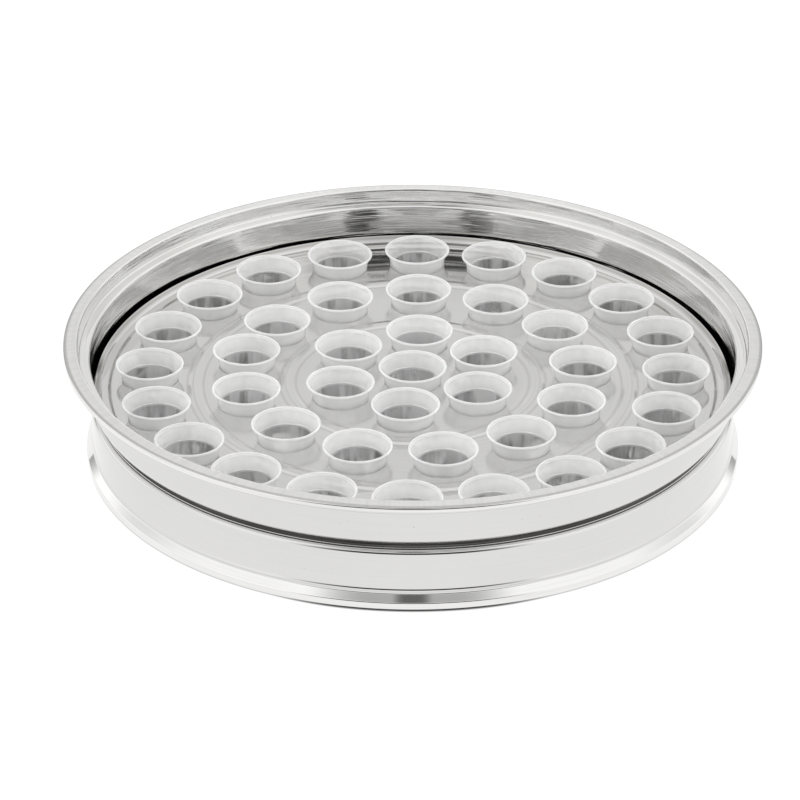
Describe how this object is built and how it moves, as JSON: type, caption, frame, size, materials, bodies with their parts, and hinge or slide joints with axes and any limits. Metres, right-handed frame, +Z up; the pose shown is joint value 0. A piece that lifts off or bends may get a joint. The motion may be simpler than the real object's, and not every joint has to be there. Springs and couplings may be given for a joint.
{
  "type": "communion cup tray",
  "caption": "Round polished steel communion tray with a wide rim, stacking ledge and flared foot, a pierced disc that lifts out, and small flared plastic cups hanging in its holes.",
  "frame": {"origin": "middle of the foot, on the surface that the tray stands on", "axes": "+Z up along the tray's axis; -Y is the side that faces the viewer in the picture"},
  "size_m": [0.315, 0.315, 0.0559],
  "materials": {
    "tray_steel": "mirror-polished stainless sheet with a satin rim",
    "disc_steel": "polished stainless sheet with fine turning marks",
    "cup_plastic": "thin frosted translucent plastic"
  },
  "bodies": {
    "tray": {"collar": "tray_steel", "base_skirt": "tray_steel", "floor_plate": "tray_steel"},
    "disc": {"cup_disc": "disc_steel"},
    "cup_01": {"cup_01": "cup_plastic"},
    "cup_02": {"cup_02": "cup_plastic"},
    "cup_03": {"cup_03": "cup_plastic"},
    "cup_04": {"cup_04": "cup_plastic"},
    "cup_05": {"cup_05": "cup_plastic"},
    "cup_06": {"cup_06": "cup_plastic"},
    "cup_07": {"cup_07": "cup_plastic"},
    "cup_08": {"cup_08": "cup_plastic"},
    "cup_09": {"cup_09": "cup_plastic"},
    "cup_10": {"cup_10": "cup_plastic"},
    "cup_11": {"cup_11": "cup_plastic"},
    "cup_12": {"cup_12": "cup_plastic"},
    "cup_13": {"cup_13": "cup_plastic"},
    "cup_14": {"cup_14": "cup_plastic"},
    "cup_15": {"cup_15": "cup_plastic"},
    "cup_16": {"cup_16": "cup_plastic"},
    "cup_17": {"cup_17": "cup_plastic"},
    "cup_18": {"cup_18": "cup_plastic"},
    "cup_19": {"cup_19": "cup_plastic"},
    "cup_20": {"cup_20": "cup_plastic"},
    "cup_21": {"cup_21": "cup_plastic"},
    "cup_22": {"cup_22": "cup_plastic"},
    "cup_23": {"cup_23": "cup_plastic"},
    "cup_24": {"cup_24": "cup_plastic"},
    "cup_25": {"cup_25": "cup_plastic"},
    "cup_26": {"cup_26": "cup_plastic"},
    "cup_27": {"cup_27": "cup_plastic"},
    "cup_28": {"cup_28": "cup_plastic"},
    "cup_29": {"cup_29": "cup_plastic"},
    "cup_30": {"cup_30": "cup_plastic"},
    "cup_31": {"cup_31": "cup_plastic"},
    "cup_32": {"cup_32": "cup_plastic"},
    "cup_33": {"cup_33": "cup_plastic"},
    "cup_34": {"cup_34": "cup_plastic"},
    "cup_35": {"cup_35": "cup_plastic"},
    "cup_36": {"cup_36": "cup_plastic"},
    "cup_37": {"cup_37": "cup_plastic"},
    "cup_38": {"cup_38": "cup_plastic"},
    "cup_39": {"cup_39": "cup_plastic"},
    "cup_40": {"cup_40": "cup_plastic"}
  },
  "joints": [
    {"name": "disc_lift", "type": "slide", "parent": "tray", "child": "disc", "axis": [0, 0, 1], "range_m": [0, 0.06]},
    {"name": "cup_01_lift", "type": "slide", "parent": "disc", "child": "cup_01", "axis": [0, 0, 1], "range_m": [0, 0.06]},
    {"name": "cup_02_lift", "type": "slide", "parent": "disc", "child": "cup_02", "axis": [0, 0, 1], "range_m": [0, 0.06]},
    {"name": "cup_03_lift", "type": "slide", "parent": "disc", "child": "cup_03", "axis": [0, 0, 1], "range_m": [0, 0.06]},
    {"name": "cup_04_lift", "type": "slide", "parent": "disc", "child": "cup_04", "axis": [0, 0, 1], "range_m": [0, 0.06]},
    {"name": "cup_05_lift", "type": "slide", "parent": "disc", "child": "cup_05", "axis": [0, 0, 1], "range_m": [0, 0.06]},
    {"name": "cup_06_lift", "type": "slide", "parent": "disc", "child": "cup_06", "axis": [0, 0, 1], "range_m": [0, 0.06]},
    {"name": "cup_07_lift", "type": "slide", "parent": "disc", "child": "cup_07", "axis": [0, 0, 1], "range_m": [0, 0.06]},
    {"name": "cup_08_lift", "type": "slide", "parent": "disc", "child": "cup_08", "axis": [0, 0, 1], "range_m": [0, 0.06]},
    {"name": "cup_09_lift", "type": "slide", "parent": "disc", "child": "cup_09", "axis": [0, 0, 1], "range_m": [0, 0.06]},
    {"name": "cup_10_lift", "type": "slide", "parent": "disc", "child": "cup_10", "axis": [0, 0, 1], "range_m": [0, 0.06]},
    {"name": "cup_11_lift", "type": "slide", "parent": "disc", "child": "cup_11", "axis": [0, 0, 1], "range_m": [0, 0.06]},
    {"name": "cup_12_lift", "type": "slide", "parent": "disc", "child": "cup_12", "axis": [0, 0, 1], "range_m": [0, 0.06]},
    {"name": "cup_13_lift", "type": "slide", "parent": "disc", "child": "cup_13", "axis": [0, 0, 1], "range_m": [0, 0.06]},
    {"name": "cup_14_lift", "type": "slide", "parent": "disc", "child": "cup_14", "axis": [0, 0, 1], "range_m": [0, 0.06]},
    {"name": "cup_15_lift", "type": "slide", "parent": "disc", "child": "cup_15", "axis": [0, 0, 1], "range_m": [0, 0.06]},
    {"name": "cup_16_lift", "type": "slide", "parent": "disc", "child": "cup_16", "axis": [0, 0, 1], "range_m": [0, 0.06]},
    {"name": "cup_17_lift", "type": "slide", "parent": "disc", "child": "cup_17", "axis": [0, 0, 1], "range_m": [0, 0.06]},
    {"name": "cup_18_lift", "type": "slide", "parent": "disc", "child": "cup_18", "axis": [0, 0, 1], "range_m": [0, 0.06]},
    {"name": "cup_19_lift", "type": "slide", "parent": "disc", "child": "cup_19", "axis": [0, 0, 1], "range_m": [0, 0.06]},
    {"name": "cup_20_lift", "type": "slide", "parent": "disc", "child": "cup_20", "axis": [0, 0, 1], "range_m": [0, 0.06]},
    {"name": "cup_21_lift", "type": "slide", "parent": "disc", "child": "cup_21", "axis": [0, 0, 1], "range_m": [0, 0.06]},
    {"name": "cup_22_lift", "type": "slide", "parent": "disc", "child": "cup_22", "axis": [0, 0, 1], "range_m": [0, 0.06]},
    {"name": "cup_23_lift", "type": "slide", "parent": "disc", "child": "cup_23", "axis": [0, 0, 1], "range_m": [0, 0.06]},
    {"name": "cup_24_lift", "type": "slide", "parent": "disc", "child": "cup_24", "axis": [0, 0, 1], "range_m": [0, 0.06]},
    {"name": "cup_25_lift", "type": "slide", "parent": "disc", "child": "cup_25", "axis": [0, 0, 1], "range_m": [0, 0.06]},
    {"name": "cup_26_lift", "type": "slide", "parent": "disc", "child": "cup_26", "axis": [0, 0, 1], "range_m": [0, 0.06]},
    {"name": "cup_27_lift", "type": "slide", "parent": "disc", "child": "cup_27", "axis": [0, 0, 1], "range_m": [0, 0.06]},
    {"name": "cup_28_lift", "type": "slide", "parent": "disc", "child": "cup_28", "axis": [0, 0, 1], "range_m": [0, 0.06]},
    {"name": "cup_29_lift", "type": "slide", "parent": "disc", "child": "cup_29", "axis": [0, 0, 1], "range_m": [0, 0.06]},
    {"name": "cup_30_lift", "type": "slide", "parent": "disc", "child": "cup_30", "axis": [0, 0, 1], "range_m": [0, 0.06]},
    {"name": "cup_31_lift", "type": "slide", "parent": "disc", "child": "cup_31", "axis": [0, 0, 1], "range_m": [0, 0.06]},
    {"name": "cup_32_lift", "type": "slide", "parent": "disc", "child": "cup_32", "axis": [0, 0, 1], "range_m": [0, 0.06]},
    {"name": "cup_33_lift", "type": "slide", "parent": "disc", "child": "cup_33", "axis": [0, 0, 1], "range_m": [0, 0.06]},
    {"name": "cup_34_lift", "type": "slide", "parent": "disc", "child": "cup_34", "axis": [0, 0, 1], "range_m": [0, 0.06]},
    {"name": "cup_35_lift", "type": "slide", "parent": "disc", "child": "cup_35", "axis": [0, 0, 1], "range_m": [0, 0.06]},
    {"name": "cup_36_lift", "type": "slide", "parent": "disc", "child": "cup_36", "axis": [0, 0, 1], "range_m": [0, 0.06]},
    {"name": "cup_37_lift", "type": "slide", "parent": "disc", "child": "cup_37", "axis": [0, 0, 1], "range_m": [0, 0.06]},
    {"name": "cup_38_lift", "type": "slide", "parent": "disc", "child": "cup_38", "axis": [0, 0, 1], "range_m": [0, 0.06]},
    {"name": "cup_39_lift", "type": "slide", "parent": "disc", "child": "cup_39", "axis": [0, 0, 1], "range_m": [0, 0.06]},
    {"name": "cup_40_lift", "type": "slide", "parent": "disc", "child": "cup_40", "axis": [0, 0, 1], "range_m": [0, 0.06]}
  ]
}
